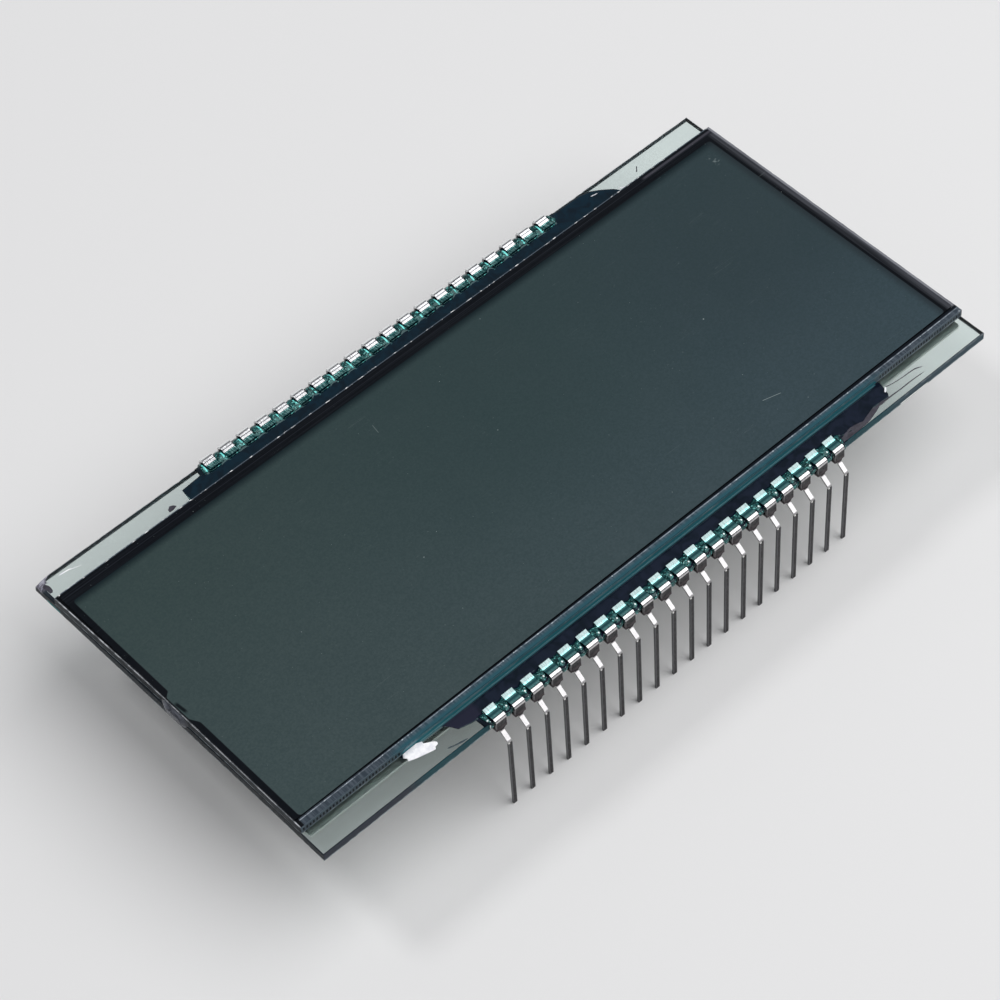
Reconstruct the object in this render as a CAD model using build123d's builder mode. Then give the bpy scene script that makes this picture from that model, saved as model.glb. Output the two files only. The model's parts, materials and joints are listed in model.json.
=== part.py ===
"""Bare liquid-crystal display glass with clip-on pins down both long sides.

Two sheets of glass hold the liquid crystal between them. The rear sheet is wider, so it has a
ledge along each long side, and a stamped tin-plated pin is clipped over each contact there and
locked with clear glue. The display stands on the tips of its pins.

X runs along the glass, Y across it and Z up. The origin lies at the middle of the display, at
the height of the pin tips. All sizes are in millimetres.
"""

import os

from build123d import *

os.makedirs("parts", exist_ok=True)

# Glass cell
glass_length = 93.98
rear_glass_width = 45.72
near_ledge = 3.31
far_ledge = 3.61
glass_thickness = 1.1
cell_gap = 0.02
glass_arris = 0.08
ledge_height = 13.8
corner_chip_length = 1.5
corner_chip_depth = 0.35

# Films laminated on the outer faces, with the bare margins that they leave
front_film_left_margin = 0.1
front_film_right_margin = 0.49
front_film_near_margin = 0.95
front_film_far_margin = 0.15
front_film_thickness = 0.2
rear_film_end_margin = 0.69
rear_film_side_margin = 2.86
rear_film_thickness = 0.32
film_corner_radius = 0.3

# Printed seal and its filling port on the short left side
seal_side_width = 1.1
seal_end_width = 0.8
seal_setback = 0.3
seal_inner_corner = 0.5
port_width = 2.6
port_flare = 1.2
dam_length = 1.65
dam_width = 0.45
plug_length = 4.4
plug_height = 1.9
plug_bulge = 0.35
plug_crown_length = 2.4
plug_crown_height = 0.85

# Pins
pin_pitch = 2.54
pins_per_side = 20
lead_reach = 1.59
pin_sheet = 0.25
head_width = 1.4
lead_width = 0.5
prong_width = 0.36
back_stand_off = 0.3
grip_clearance = 0.01
tongue_reach = 1.5
tongue_dip = 0.85
tongue_lift = 0.2
crown_height = 0.52
shoulder_drop = 1.0
taper_drop = 0.65
slope_start = 1.67
slope_end = 2.65
jaw_reach = 1.25
jaw_grip = 0.75
jaw_flare = 0.2
crown_radius = 0.36
lead_bend_radius = 0.45

# Clear glue that locks the pins
glue_climb = 0.85
glue_fillet_width = 0.9
glue_fillet_waist = 0.3
glue_film = 0.14
glue_bead_start = 1.1
glue_bead_height = 0.32
glue_bead_crown = 0.05
glue_bulge = 0.42
glue_bulge_drop = 0.6
glue_wrap_drop = 0.95
glue_notch_margin = 0.1
glue_end_margin = 1.05
near_run_left = 9.9
near_run_right = 9.7
far_run_left = 6.5
far_run_right = 9.9
film_end_width = 1.7
film_end_taper = 1.4
film_end_setback = 0.25

# Levels and edges that follow from the sizes above
cell_top = ledge_height + cell_gap
front_top = cell_top + glass_thickness
rear_bottom = ledge_height - glass_thickness
rear_edge = rear_glass_width / 2
near_front_edge = rear_edge - near_ledge
far_front_edge = rear_edge - far_ledge
front_glass_width = near_front_edge + far_front_edge
front_glass_middle = (far_front_edge - near_front_edge) / 2
front_film_length = glass_length - front_film_left_margin - front_film_right_margin
front_film_middle_x = (front_film_left_margin - front_film_right_margin) / 2
front_film_width = front_glass_width - front_film_near_margin - front_film_far_margin
front_film_middle_y = front_glass_middle + (front_film_near_margin - front_film_far_margin) / 2
rear_film_length = glass_length - 2 * rear_film_end_margin
rear_film_width = rear_glass_width - 2 * rear_film_side_margin
first_pin_x = -pin_pitch * (pins_per_side - 1) / 2
seal_outer_length = glass_length - 2 * seal_setback
seal_outer_width = front_glass_width - 2 * seal_setback
cell_length = seal_outer_length - 2 * seal_end_width
cell_width = seal_outer_width - 2 * seal_side_width
port_mouth_width = port_width + 2 * port_flare
dam_x = -cell_length / 2 - dam_width / 2


def finish(piece, name):
    """Label a finished piece and write it to its own file."""
    piece.label = name
    export_step(piece, f"parts/{name}.step")


# Rear glass, with a shell-shaped chip out of its far left corner
with BuildPart() as rear_glass:
    with BuildSketch(Plane.XY.offset(rear_bottom)):
        Rectangle(glass_length, rear_glass_width)
    extrude(amount=glass_thickness)
    chamfer(rear_glass.edges().filter_by(Axis.Z, reverse=True), length=glass_arris)
    chip_radius = (corner_chip_length**2 + corner_chip_depth**2) / (2 * corner_chip_depth)
    with Locations((-glass_length / 2, rear_edge, ledge_height + chip_radius - corner_chip_depth)):
        Sphere(chip_radius, mode=Mode.SUBTRACT)
finish(rear_glass.part, "rear_glass")

# Front glass, narrower and set between the two ledges
with BuildPart() as front_glass:
    with BuildSketch(Plane.XY.offset(cell_top)):
        with Locations((0, front_glass_middle)):
            Rectangle(glass_length, front_glass_width)
    extrude(amount=glass_thickness)
    chamfer(front_glass.edges().filter_by(Axis.Z, reverse=True), length=glass_arris)
finish(front_glass.part, "front_glass")

# Front polarising film
with BuildPart() as front_film:
    with BuildSketch(Plane.XY.offset(front_top)):
        with Locations((front_film_middle_x, front_film_middle_y)):
            RectangleRounded(front_film_length, front_film_width, film_corner_radius)
    extrude(amount=front_film_thickness)
finish(front_film.part, "front_polariser")

# Rear polarising film with its reflector
with BuildPart() as rear_film:
    with BuildSketch(Plane.XY.offset(rear_bottom - rear_film_thickness)):
        RectangleRounded(rear_film_length, rear_film_width, film_corner_radius)
    extrude(amount=rear_film_thickness)
finish(rear_film.part, "rear_polariser")

# Printed seal: a frame with a flared gap through its left side
with BuildPart() as seal:
    with BuildSketch(Plane.XY.offset(ledge_height)):
        with Locations((0, front_glass_middle)):
            Rectangle(seal_outer_length, seal_outer_width)
            RectangleRounded(cell_length, cell_width, seal_inner_corner, mode=Mode.SUBTRACT)
        with BuildLine():
            Polyline(
                (-seal_outer_length / 2, port_width / 2),
                (-seal_outer_length / 2 + seal_end_width / 2, port_width / 2),
                (-cell_length / 2, port_mouth_width / 2),
                (-cell_length / 2, -port_mouth_width / 2),
                (-seal_outer_length / 2 + seal_end_width / 2, -port_width / 2),
                (-seal_outer_length / 2, -port_width / 2),
                close=True,
            )
        make_face(mode=Mode.SUBTRACT)
    extrude(amount=cell_gap)
finish(seal.part, "perimeter_seal")

# Small dam printed across the mouth of the port
with BuildPart() as dam:
    with BuildSketch(Plane.XY.offset(ledge_height)):
        with Locations((dam_x, 0)):
            Rectangle(dam_width, dam_length)
    extrude(amount=cell_gap)
finish(dam.part, "port_dam")

# Liquid crystal, filling the cell and the port around the dam
with BuildPart() as crystal:
    with BuildSketch(Plane.XY.offset(ledge_height)):
        with Locations((0, front_glass_middle)):
            RectangleRounded(cell_length, cell_width, seal_inner_corner)
        with BuildLine():
            Polyline(
                (-seal_outer_length / 2 + seal_end_width / 2, port_width / 2),
                (-cell_length / 2, port_mouth_width / 2),
                (-cell_length / 2, -port_mouth_width / 2),
                (-seal_outer_length / 2 + seal_end_width / 2, -port_width / 2),
                close=True,
            )
        make_face()
        with Locations((dam_x, 0)):
            Rectangle(dam_width, dam_length, mode=Mode.SUBTRACT)
    extrude(amount=cell_gap)
finish(crystal.part, "liquid_crystal")

# End seal: a domed drop of resin over the port on the left edge
with BuildPart() as plug:
    dome_plane = Plane(origin=(-glass_length / 2, 0, ledge_height), x_dir=(0, 1, 0), z_dir=(-1, 0, 0))
    with BuildSketch(dome_plane):
        SlotOverall(plug_length, plug_height)
    with BuildSketch(dome_plane.offset(plug_bulge)):
        SlotOverall(plug_crown_length, plug_crown_height)
    loft()
finish(plug.part, "end_seal")

# Side view of a pin: outward from the edge of the rear glass, and up from its ledge
half_sheet = pin_sheet / 2
back_line = back_stand_off + half_sheet
dip_line = grip_clearance + half_sheet
jaw_line = -glass_thickness - grip_clearance - half_sheet
tongue_points = [
    (-tongue_reach, dip_line + tongue_lift),
    (-tongue_dip, dip_line),
]
crown_points = [
    (-tongue_dip, dip_line),
    (back_line, crown_height - half_sheet),
    (back_line, -slope_start),
]
lead_points = [
    (back_line, -slope_start),
    (lead_reach, -slope_end),
    (lead_reach, -ledge_height),
]
jaw_points = [
    (back_line, -shoulder_drop / 2),
    (back_line, jaw_line),
    (-jaw_grip, jaw_line),
    (-jaw_reach, jaw_line - jaw_flare),
]
side_plane = Plane(origin=(0, -rear_edge, ledge_height), x_dir=(0, -1, 0), z_dir=(-1, 0, 0))
face_plane = Plane(origin=(0, -rear_edge, ledge_height), x_dir=(1, 0, 0), z_dir=(0, -1, 0))

# One near-side pin at the middle of its row, stamped from sheet: a sprung tongue over the ledge,
# a flat back that narrows to the lead, and two prongs that grip the glass from below
with BuildPart() as near_clip:
    with BuildSketch(side_plane):
        with BuildLine():
            Polyline(*tongue_points)
            FilletPolyline(*crown_points, radius=crown_radius)
            FilletPolyline(*lead_points, radius=lead_bend_radius)
        trace(line_width=pin_sheet)
    extrude(amount=head_width / 2, both=True)
    with BuildSketch(face_plane):
        with BuildLine():
            Polyline(
                (-head_width / 2, crown_height + 1),
                (-head_width / 2, -shoulder_drop),
                (-lead_width / 2, -shoulder_drop - taper_drop),
                (-lead_width / 2, -ledge_height),
                (lead_width / 2, -ledge_height),
                (lead_width / 2, -shoulder_drop - taper_drop),
                (head_width / 2, -shoulder_drop),
                (head_width / 2, crown_height + 1),
                close=True,
            )
        make_face()
    extrude(amount=rear_glass_width / 2, both=True, mode=Mode.INTERSECT)
    for prong_side in (-1, 1):
        with BuildSketch(side_plane.offset(prong_side * (head_width - prong_width) / 2)):
            with BuildLine():
                Polyline(*jaw_points)
            trace(line_width=pin_sheet)
        extrude(amount=prong_width / 2, both=True)

# The far-side pin is the same stamping turned round
with BuildPart() as far_clip:
    add(near_clip.part.rotate(Axis.Z, 180))

# Both rows of pins
for pin_number in range(1, pins_per_side + 1):
    pin_x = first_pin_x + (pin_number - 1) * pin_pitch
    with BuildPart() as near_pin:
        with Locations((pin_x, 0, 0)):
            add(near_clip.part)
    with BuildPart() as far_pin:
        with Locations((pin_x, 0, 0)):
            add(far_clip.part)
    finish(near_pin.part, f"near_pin_{pin_number:02d}")
    finish(far_pin.part, f"far_pin_{pin_number:02d}")


def outward_plane(side):
    """Upright plane across one long edge, its X pointing outward: side is -1 near, 1 far."""
    return Plane(origin=(0, side * rear_edge, ledge_height), x_dir=(0, side, 0), z_dir=(side, 0, 0))


def glue_run(side, front_edge, run_left, run_right):
    """Glue on one ledge: a fillet up the front glass, a film, and a bead notched for the pins."""
    ledge_width = rear_edge - front_edge
    bead_half = -first_pin_x + glue_end_margin
    film_left = -first_pin_x + run_left
    film_right = -first_pin_x + run_right
    notch_length = tongue_reach + glue_notch_margin + glue_bulge
    notch_y = side * (rear_edge + glue_bulge - notch_length / 2)
    with BuildPart() as glue:
        with BuildSketch(outward_plane(side)):
            with BuildLine():
                ThreePointArc(
                    (-ledge_width, glue_climb),
                    (-ledge_width + glue_fillet_waist, glue_fillet_waist),
                    (-ledge_width + glue_fillet_width, glue_film),
                )
                Line((-ledge_width + glue_fillet_width, glue_film), (-glue_bead_start, glue_film))
                Polyline(
                    (-glue_bead_start, glue_film),
                    (-glue_bead_crown, glue_bead_height),
                    (glue_bulge, -glue_bead_crown),
                    (glue_bulge, -glue_bulge_drop),
                    (0, -glue_wrap_drop),
                    (0, 0),
                    (-ledge_width, 0),
                    (-ledge_width, glue_climb),
                )
            make_face()
        extrude(amount=max(film_left, film_right), both=True)
        with BuildSketch(Plane.XY.offset(ledge_height)):
            with BuildLine():
                Polyline(
                    (-film_left, side * front_edge),
                    (-film_left + film_end_taper, side * (front_edge + film_end_width)),
                    (-bead_half - film_end_taper, side * (rear_edge - film_end_setback)),
                    (-bead_half, side * (rear_edge + glue_bulge)),
                    (bead_half, side * (rear_edge + glue_bulge)),
                    (bead_half + film_end_taper, side * (rear_edge - film_end_setback)),
                    (film_right - film_end_taper, side * (front_edge + film_end_width)),
                    (film_right, side * front_edge),
                    close=True,
                )
            make_face()
            with Locations((0, notch_y)):
                with GridLocations(pin_pitch, 1, pins_per_side, 1):
                    Rectangle(head_width, notch_length, mode=Mode.SUBTRACT)
        extrude(amount=glass_thickness, both=True, mode=Mode.INTERSECT)
    return glue.part


finish(glue_run(-1, near_front_edge, near_run_left, near_run_right), "near_glue_bead")
finish(glue_run(1, far_front_edge, far_run_left, far_run_right), "far_glue_bead")
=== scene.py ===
"""Looks of the bare liquid-crystal display glass with clip-on pins.

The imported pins, films, seal and fluid stay where they are and get detailed materials. The two
sheets of glass are drawn as clear faces with a ground rim, and the two plain glue solids as
lumpy runs with a drop between every two pins. Lengths are in millimetres.
"""

import json
import math
import random
from types import SimpleNamespace

import bpy
from mathutils import Matrix, Vector, noise


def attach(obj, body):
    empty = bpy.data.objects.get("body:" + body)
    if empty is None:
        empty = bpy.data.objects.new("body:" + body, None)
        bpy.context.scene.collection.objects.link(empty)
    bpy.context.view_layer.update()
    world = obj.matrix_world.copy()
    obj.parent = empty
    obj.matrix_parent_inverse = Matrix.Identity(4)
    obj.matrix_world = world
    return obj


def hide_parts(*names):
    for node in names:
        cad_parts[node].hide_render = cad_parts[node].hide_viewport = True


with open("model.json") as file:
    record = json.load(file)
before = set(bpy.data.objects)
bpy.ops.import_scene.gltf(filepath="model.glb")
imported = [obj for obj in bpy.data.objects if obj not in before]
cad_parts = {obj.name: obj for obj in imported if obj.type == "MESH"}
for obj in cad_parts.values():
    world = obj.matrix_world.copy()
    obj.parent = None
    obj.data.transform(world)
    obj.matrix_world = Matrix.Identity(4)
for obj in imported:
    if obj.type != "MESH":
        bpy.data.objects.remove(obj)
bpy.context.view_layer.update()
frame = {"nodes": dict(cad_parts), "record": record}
nodes = frame["nodes"]
random.seed(7)

MM = 0.001
HALF_LENGTH = 46.99
REAR_EDGE = 22.86
LEDGE = 13.8
REAR_BOTTOM = 12.7
FRONT_BOTTOM = 13.82
FRONT_TOP = 14.92
NEAR_FRONT_EDGE = -19.55
FAR_FRONT_EDGE = 19.25
PITCH = 2.54
PINS = 20
FIRST_PIN = -PITCH * (PINS - 1) / 2

# The left edges of both sheets lean out of square: by this much, and from these places on.
LEAN = 0.33
FRONT_LEAN_FROM = 4.0
REAR_LEAN_FROM = -15.0

# What shows on the front film: the outlines of the cell and of the film, how far the port
# reaches into the seal, the dam across it, some bubbles and two scratches.
CELL_LOW, CELL_HIGH = (-46.19, -18.58), (45.33, 17.45)
FILM_LOW, FILM_HIGH = (-46.89, -18.6), (46.5, 19.1)
PORT_DEPTH = 0.61
DAM = ((-46.59, 0.18), (-46.43, -1.36), 0.28)
BUBBLES_AT = (43.5, 14.9)
LONG_SCRATCH = ((22.6, -13.5), (24.7, -14.1), 0.05)
SHORT_SCRATCH = ((-9.3, 12.0), (-9.1, 13.2), 0.06)

# Heights on a pin, up from the ledge: the slope, and the top of the painted highlight on the
# shoulder above it.
SLOPE_LOW, SLOPE_HIGH = -2.62, -1.66
SHOULDER_HIGH = -1.46

# Round painted highlights on the glue drops: place between two pins, place inwards, radius, and
# whether far row.
GLUE_HIGHLIGHTS = [
    (0.30, 1.52, 0.20, True),
    (1.62, 1.62, 0.17, True),
    (1.95, 1.50, 0.13, True),
    (0.16, 0.28, 0.13, False),
    (0.36, 0.02, 0.08, False),
    (0.10, -0.22, 0.08, False),
]

# Angles of the camera in degrees, its focal length in sensor widths, and where it stands.
VIEW_AZIMUTH, VIEW_ELEVATION, VIEW_ROLL = 231.21, 52.33, -4.65
SENSOR_WIDTH = 36.0
FOCAL_WIDTHS = 3.2387
STANDS_RIGHT, STANDS_UP, STANDS_AWAY = -2.818, 3.657, 352.8


def wire(tree, kind, inputs=None, **settings):
    """Adds a shader node; an input given as a socket is linked, any other value is set."""
    made = tree.nodes.new(kind)
    for name, value in settings.items():
        setattr(made, name, value)
    for name, value in (inputs or {}).items():
        if isinstance(value, bpy.types.NodeSocket):
            tree.links.new(value, made.inputs[name])
        else:
            made.inputs[name].default_value = value
    return made


def maths(tree, operation, first, second=0.0):
    """A Math node's result."""
    return wire(tree, "ShaderNodeMath", {0: first, 1: second}, operation=operation).outputs[0]


def fold(tree, operation, values):
    """Values joined one after the other with a Math operation."""
    total = values[0]
    for value in values[1:]:
        total = maths(tree, operation, total, value)
    return total


def times(tree, *masks):
    """Masks multiplied together."""
    return fold(tree, "MULTIPLY", masks)


def highest(tree, *masks):
    """The highest of several masks."""
    return fold(tree, "MAXIMUM", masks)


def plus(tree, *values):
    """Values added together."""
    return fold(tree, "ADD", values)


def minus(tree, first, second):
    """One value less another."""
    return maths(tree, "SUBTRACT", first, second)


def absolute(tree, value):
    """A value without its sign."""
    return maths(tree, "ABSOLUTE", value)


def distance(tree, first, second):
    """How far off a place is, from its distances along two directions."""
    squares = [maths(tree, "POWER", absolute(tree, part), 2.0) for part in (first, second)]
    return maths(tree, "SQRT", plus(tree, *squares))


def blend(tree, factor, first, second):
    """A colour mix's result."""
    made = wire(tree, "ShaderNodeMix", {0: factor}, data_type="RGBA")
    for index, value in ((6, first), (7, second)):
        if isinstance(value, bpy.types.NodeSocket):
            tree.links.new(value, made.inputs[index])
        else:
            made.inputs[index].default_value = (*value, 1.0)
    return made.outputs[2]


def paint(tree, under, over, *masks):
    """One colour laid over another where all the masks are 1."""
    return blend(tree, times(tree, *masks), under, over)


def ramp(tree, value, low, high, out_low=0.0, out_high=1.0):
    """A clamped smooth step of value from low to high."""
    levels = {
        "Value": value,
        "From Min": low,
        "From Max": high,
        "To Min": out_low,
        "To Max": out_high,
    }
    return wire(tree, "ShaderNodeMapRange", levels, interpolation_type="SMOOTHSTEP").outputs[0]


def tones(tree, drift, first, second, low=0.35, high=0.65):
    """A colour that drifts from one tone to another with a noise."""
    return blend(tree, ramp(tree, drift, low, high), first, second)


def between(tree, value, low, high, soft=0.04):
    """Mask that is 1 where value lies between low and high."""
    rise = ramp(tree, value, low - soft, low + soft)
    fall = ramp(tree, value, high + soft, high - soft)
    return times(tree, rise, fall)


def position(tree):
    """Position on the object in millimetres."""
    spot = wire(tree, "ShaderNodeTexCoord").outputs["Object"]
    scaled = wire(tree, "ShaderNodeVectorMath", {0: spot, "Scale": 1 / MM}, operation="SCALE")
    return scaled.outputs[0]


def place(tree):
    """Position on the object in millimetres, and its three parts."""
    spot = position(tree)
    parts = wire(tree, "ShaderNodeSeparateXYZ", {0: spot}).outputs
    return spot, parts[0], parts[1], parts[2]


def stretched(tree, spot, scale, turn=0.0):
    """Position stretched along the axes, after a turn about Z."""
    levels = {"Vector": spot, "Scale": scale, "Rotation": (0, 0, turn)}
    return wire(tree, "ShaderNodeMapping", levels).outputs[0]


def clouds(tree, spot, scale, detail=4.0, rough=0.55, warp=0.0):
    """Noise value."""
    levels = {
        "Vector": spot,
        "Scale": scale,
        "Detail": detail,
        "Roughness": rough,
        "Distortion": warp,
    }
    return wire(tree, "ShaderNodeTexNoise", levels).outputs[0]


def new_material(name):
    """An empty node material with a Principled shader wired to its output."""
    material = bpy.data.materials.new(name)
    material.use_nodes = True
    tree = material.node_tree
    tree.nodes.clear()
    shader = wire(tree, "ShaderNodeBsdfPrincipled")
    output = wire(tree, "ShaderNodeOutputMaterial")
    tree.links.new(shader.outputs[0], output.inputs[0])
    return material, tree, shader


def feed(tree, shader, **links):
    """Links or sets the shader's own sockets; underscores stand for spaces."""
    for name, value in links.items():
        socket = shader.inputs[name.replace("_", " ")]
        if isinstance(value, bpy.types.NodeSocket):
            tree.links.new(value, socket)
        elif isinstance(value, tuple) and len(value) == 3 and socket.type == "RGBA":
            socket.default_value = (*value, 1.0)
        else:
            socket.default_value = value


def bump(tree, height, distance):
    """A bump normal from a height value, with its depth in millimetres."""
    return wire(tree, "ShaderNodeBump", {"Height": height, "Distance": distance * MM}).outputs[0]


def new_group(name, inputs):
    """A node group that takes the named inputs and gives a mask, with its two end nodes."""
    tree = bpy.data.node_groups.new(name, "ShaderNodeTree")
    for socket, kind in inputs.items():
        tree.interface.new_socket(socket, in_out="INPUT", socket_type=kind)
    tree.interface.new_socket("Mask", in_out="OUTPUT", socket_type="NodeSocketFloat")
    return tree, wire(tree, "NodeGroupInput"), wire(tree, "NodeGroupOutput")


def make_dust_group():
    """Fine dust: sparse specks of several sizes. Gives a mask."""
    inputs = {"Spot": "NodeSocketVector", "Amount": "NodeSocketFloat"}
    tree, taken, given = new_group("dust specks", inputs)
    layers = []
    for scale, size, share in ((0.42, 0.05, 0.92), (1.1, 0.06, 0.93), (2.8, 0.09, 0.9)):
        cell = wire(tree, "ShaderNodeTexVoronoi", {"Vector": taken.outputs[0], "Scale": scale})
        speck = ramp(tree, cell.outputs["Distance"], size, size * 0.3)
        shade = wire(tree, "ShaderNodeSeparateColor", {0: cell.outputs["Color"]}).outputs
        chosen = maths(tree, "GREATER_THAN", shade[0], share)
        layers.append(times(tree, speck, chosen, ramp(tree, shade[1], 0.0, 1.0, 0.25, 1.0)))
    tree.links.new(times(tree, highest(tree, *layers), taken.outputs[1]), given.inputs[0])
    return tree


def make_hairline_group():
    """Hairline scratches: thin broken lines in three directions. Gives a mask."""
    tree, taken, given = new_group("hairlines", {"Spot": "NodeSocketVector"})
    layers = []
    for turn, across in ((0.5, 2.1), (-0.9, 1.6), (1.9, 2.6)):
        along = stretched(tree, taken.outputs[0], (0.06, across, 1.0), turn)
        lines = clouds(tree, along, 1.0, detail=1.0, warp=0.6)
        line = ramp(tree, absolute(tree, minus(tree, lines, 0.5)), 0.004, 0.0)
        broken = ramp(tree, clouds(tree, taken.outputs[0], 0.09 * across, detail=2.0), 0.6, 0.72)
        layers.append(times(tree, line, broken))
    tree.links.new(highest(tree, *layers), given.inputs[0])
    return tree


dust_group = make_dust_group()
hairline_group = make_hairline_group()


def use_dust(tree, spot, amount):
    """Mask of dust specks."""
    inputs = {"Spot": spot, "Amount": amount}
    return wire(tree, "ShaderNodeGroup", inputs, node_tree=dust_group).outputs[0]


def use_hairlines(tree, spot):
    """Mask of hairline scratches."""
    return wire(tree, "ShaderNodeGroup", {"Spot": spot}, node_tree=hairline_group).outputs[0]


def rounded_frame(tree, x, y, low, high, corner):
    """Signed distance from a rounded rectangle, negative inside."""
    reach = []
    for value, start, end in ((x, low[0], high[0]), (y, low[1], high[1])):
        away = absolute(tree, minus(tree, value, (start + end) / 2))
        reach.append(minus(tree, away, (end - start) / 2 - corner))
    inside = maths(tree, "MINIMUM", highest(tree, *reach), 0.0)
    outside = distance(tree, *[highest(tree, part, 0.0) for part in reach])
    return minus(tree, plus(tree, inside, outside), corner)


def stroke(tree, x, y, start, end, width):
    """Mask of one straight scratch from start to end."""
    dx, dy = end[0] - start[0], end[1] - start[1]
    length = math.hypot(dx, dy)
    px = minus(tree, x, start[0])
    py = minus(tree, y, start[1])
    along = plus(tree, times(tree, px, dx / length), times(tree, py, dy / length))
    across = minus(tree, times(tree, px, dy / length), times(tree, py, dx / length))
    line = ramp(tree, absolute(tree, across), width, width * 0.3)
    return times(tree, line, between(tree, along, 0.0, length, width))


def from_screen(red, green, blue):
    """A colour written as 0 to 255 on a screen, as the linear value that a shader takes."""
    shares = [value / 255 for value in (red, green, blue)]
    return tuple(s / 12.92 if s <= 0.04045 else ((s + 0.055) / 1.055) ** 2.4 for s in shares)


PANEL = {
    "far left": (0.0378, 0.0595, 0.0580),
    "near left": (0.0506, 0.0735, 0.0755),
    "far right": (0.0288, 0.0468, 0.0540),
    "near right": (0.0400, 0.0635, 0.0785),
    "middle": (0.0262, 0.0490, 0.0500),
    "right middle": (0.0240, 0.0380, 0.0450),
    "dim": (0.0300, 0.0470, 0.0500),
    "grain": (0.0200, 0.0370, 0.0400),
    "far edge": from_screen(13, 27, 32),
    "right edge": from_screen(32, 38, 43),
    "dam": from_screen(10, 18, 22),
}


def cell_colour(tree, spot, x, y):
    """Grey-green over the cell: greener to the left, darker at the far and right edges as painted
    shadow of the seal.
    """
    toward_near = ramp(tree, y, 19.0, -19.0)
    green_side = blend(tree, toward_near, PANEL["far left"], PANEL["near left"])
    blue_side = blend(tree, toward_near, PANEL["far right"], PANEL["near right"])
    colour = blend(tree, ramp(tree, x, -48.0, 48.0), green_side, blue_side)
    middle = times(tree, between(tree, x, -16.0, 18.0, 18.0), ramp(tree, y, -18.0, 2.0), 0.5)
    colour = paint(tree, colour, PANEL["middle"], middle)
    right_dip = times(tree, ramp(tree, x, 14.0, 34.0), between(tree, y, -8.0, 9.0, 8.0), 0.4)
    colour = paint(tree, colour, PANEL["right middle"], right_dip)
    mottle = clouds(tree, spot, 0.05, detail=3.0)
    colour = paint(tree, colour, PANEL["dim"], ramp(tree, mottle, 0.35, 0.7, 0.0, 0.16))
    grain = clouds(tree, spot, 4.2, detail=3.0, rough=0.7)
    colour = paint(tree, colour, PANEL["grain"], ramp(tree, grain, 0.3, 0.7, 0.0, 0.42))
    # Painted shadow of the seal along the far and right edges of the cell.
    colour = paint(tree, colour, PANEL["far edge"], ramp(tree, y, 16.2, 17.6))
    return paint(tree, colour, PANEL["right edge"], ramp(tree, x, 44.1, 45.4, 0.0, 0.7))


def seal_colour(tree, spot, x, y):
    """The dark seal round the cell, lined along its far side and paler at the right."""
    drift = clouds(tree, spot, 1.9)
    colour = blend(tree, drift, (0.0004, 0.0014, 0.0030), (0.0034, 0.0050, 0.0080))
    lines = clouds(tree, stretched(tree, spot, (0.05, 6.0, 1.0)), 1.0, detail=2.0)
    far_band = times(tree, ramp(tree, y, 17.3, 17.5), ramp(tree, lines, 0.45, 0.7, 0.0, 0.7))
    colour = paint(tree, colour, from_screen(22, 26, 32), far_band)
    far_line = between(tree, y, 18.22, 18.3, 0.05)
    colour = paint(tree, colour, from_screen(46, 50, 58), far_line, 0.4)
    pale_strip = times(tree, between(tree, y, 18.35, 18.65, 0.06), ramp(tree, x, 35.6, 36.4))
    colour = paint(tree, colour, from_screen(66, 66, 74), pale_strip, 0.8)
    right_band = times(tree, ramp(tree, x, 45.6, 45.75), ramp(tree, y, 18.4, 17.9))
    streaks = clouds(tree, stretched(tree, spot, (7.0, 0.08, 1.0)), 1.0, detail=2.0)
    inner = tones(tree, streaks, from_screen(18, 21, 26), from_screen(44, 47, 52))
    outer = tones(tree, streaks, from_screen(38, 41, 46), from_screen(66, 68, 74))
    right_colour = blend(tree, ramp(tree, x, 45.85, 46.15), inner, outer)
    return paint(tree, colour, right_colour, right_band)


def film_edges(tree, spot, x, y, colour):
    """The film's outline: painted shade along the near side, grey at the right, and a flecked
    painted highlight at the far side.
    """
    rim = rounded_frame(tree, x, y, FILM_LOW, FILM_HIGH, 0.3)
    # Painted shade along the film's near edge.
    colour = paint(tree, colour, (0.0006, 0.0012, 0.0020), ramp(tree, y, -18.55, -18.6))
    right_rim = times(tree, ramp(tree, rim, -0.1, -0.04), ramp(tree, x, 46.2, 46.4))
    colour = paint(tree, colour, from_screen(72, 74, 82), right_rim)
    # Painted highlight: a bright, broken line along the far edge.
    flecked_highlight = clouds(tree, stretched(tree, spot, (0.8, 3.0, 1.0)), 1.4, detail=4.0)
    far_colour = tones(tree, flecked_highlight, from_screen(74, 84, 94), (0.95, 0.95, 0.95), 0.54, 0.66)
    far_rim = times(tree, ramp(tree, rim, -0.13, -0.09), ramp(tree, y, 18.9, 18.95))
    return paint(tree, colour, far_colour, far_rim)


def film_marks(tree, spot, x, y):
    """Mask of the bubbles, scratches, hairlines and dust on the film."""
    bubbles_x = times(tree, minus(tree, x, BUBBLES_AT[0]), 1.3)
    bubbles_y = minus(tree, y, BUBBLES_AT[1])
    squares = [times(tree, part, part) for part in (bubbles_x, bubbles_y)]
    cluster = ramp(tree, plus(tree, *squares), 1.2, 0.1)
    return highest(
        tree,
        times(tree, cluster, ramp(tree, clouds(tree, spot, 3.6), 0.52, 0.68), 0.3),
        times(tree, stroke(tree, x, y, *LONG_SCRATCH), 0.5),
        times(tree, stroke(tree, x, y, *SHORT_SCRATCH), 0.2),
        times(tree, use_hairlines(tree, spot), 0.1),
        use_dust(tree, spot, 0.85),
    )


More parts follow.
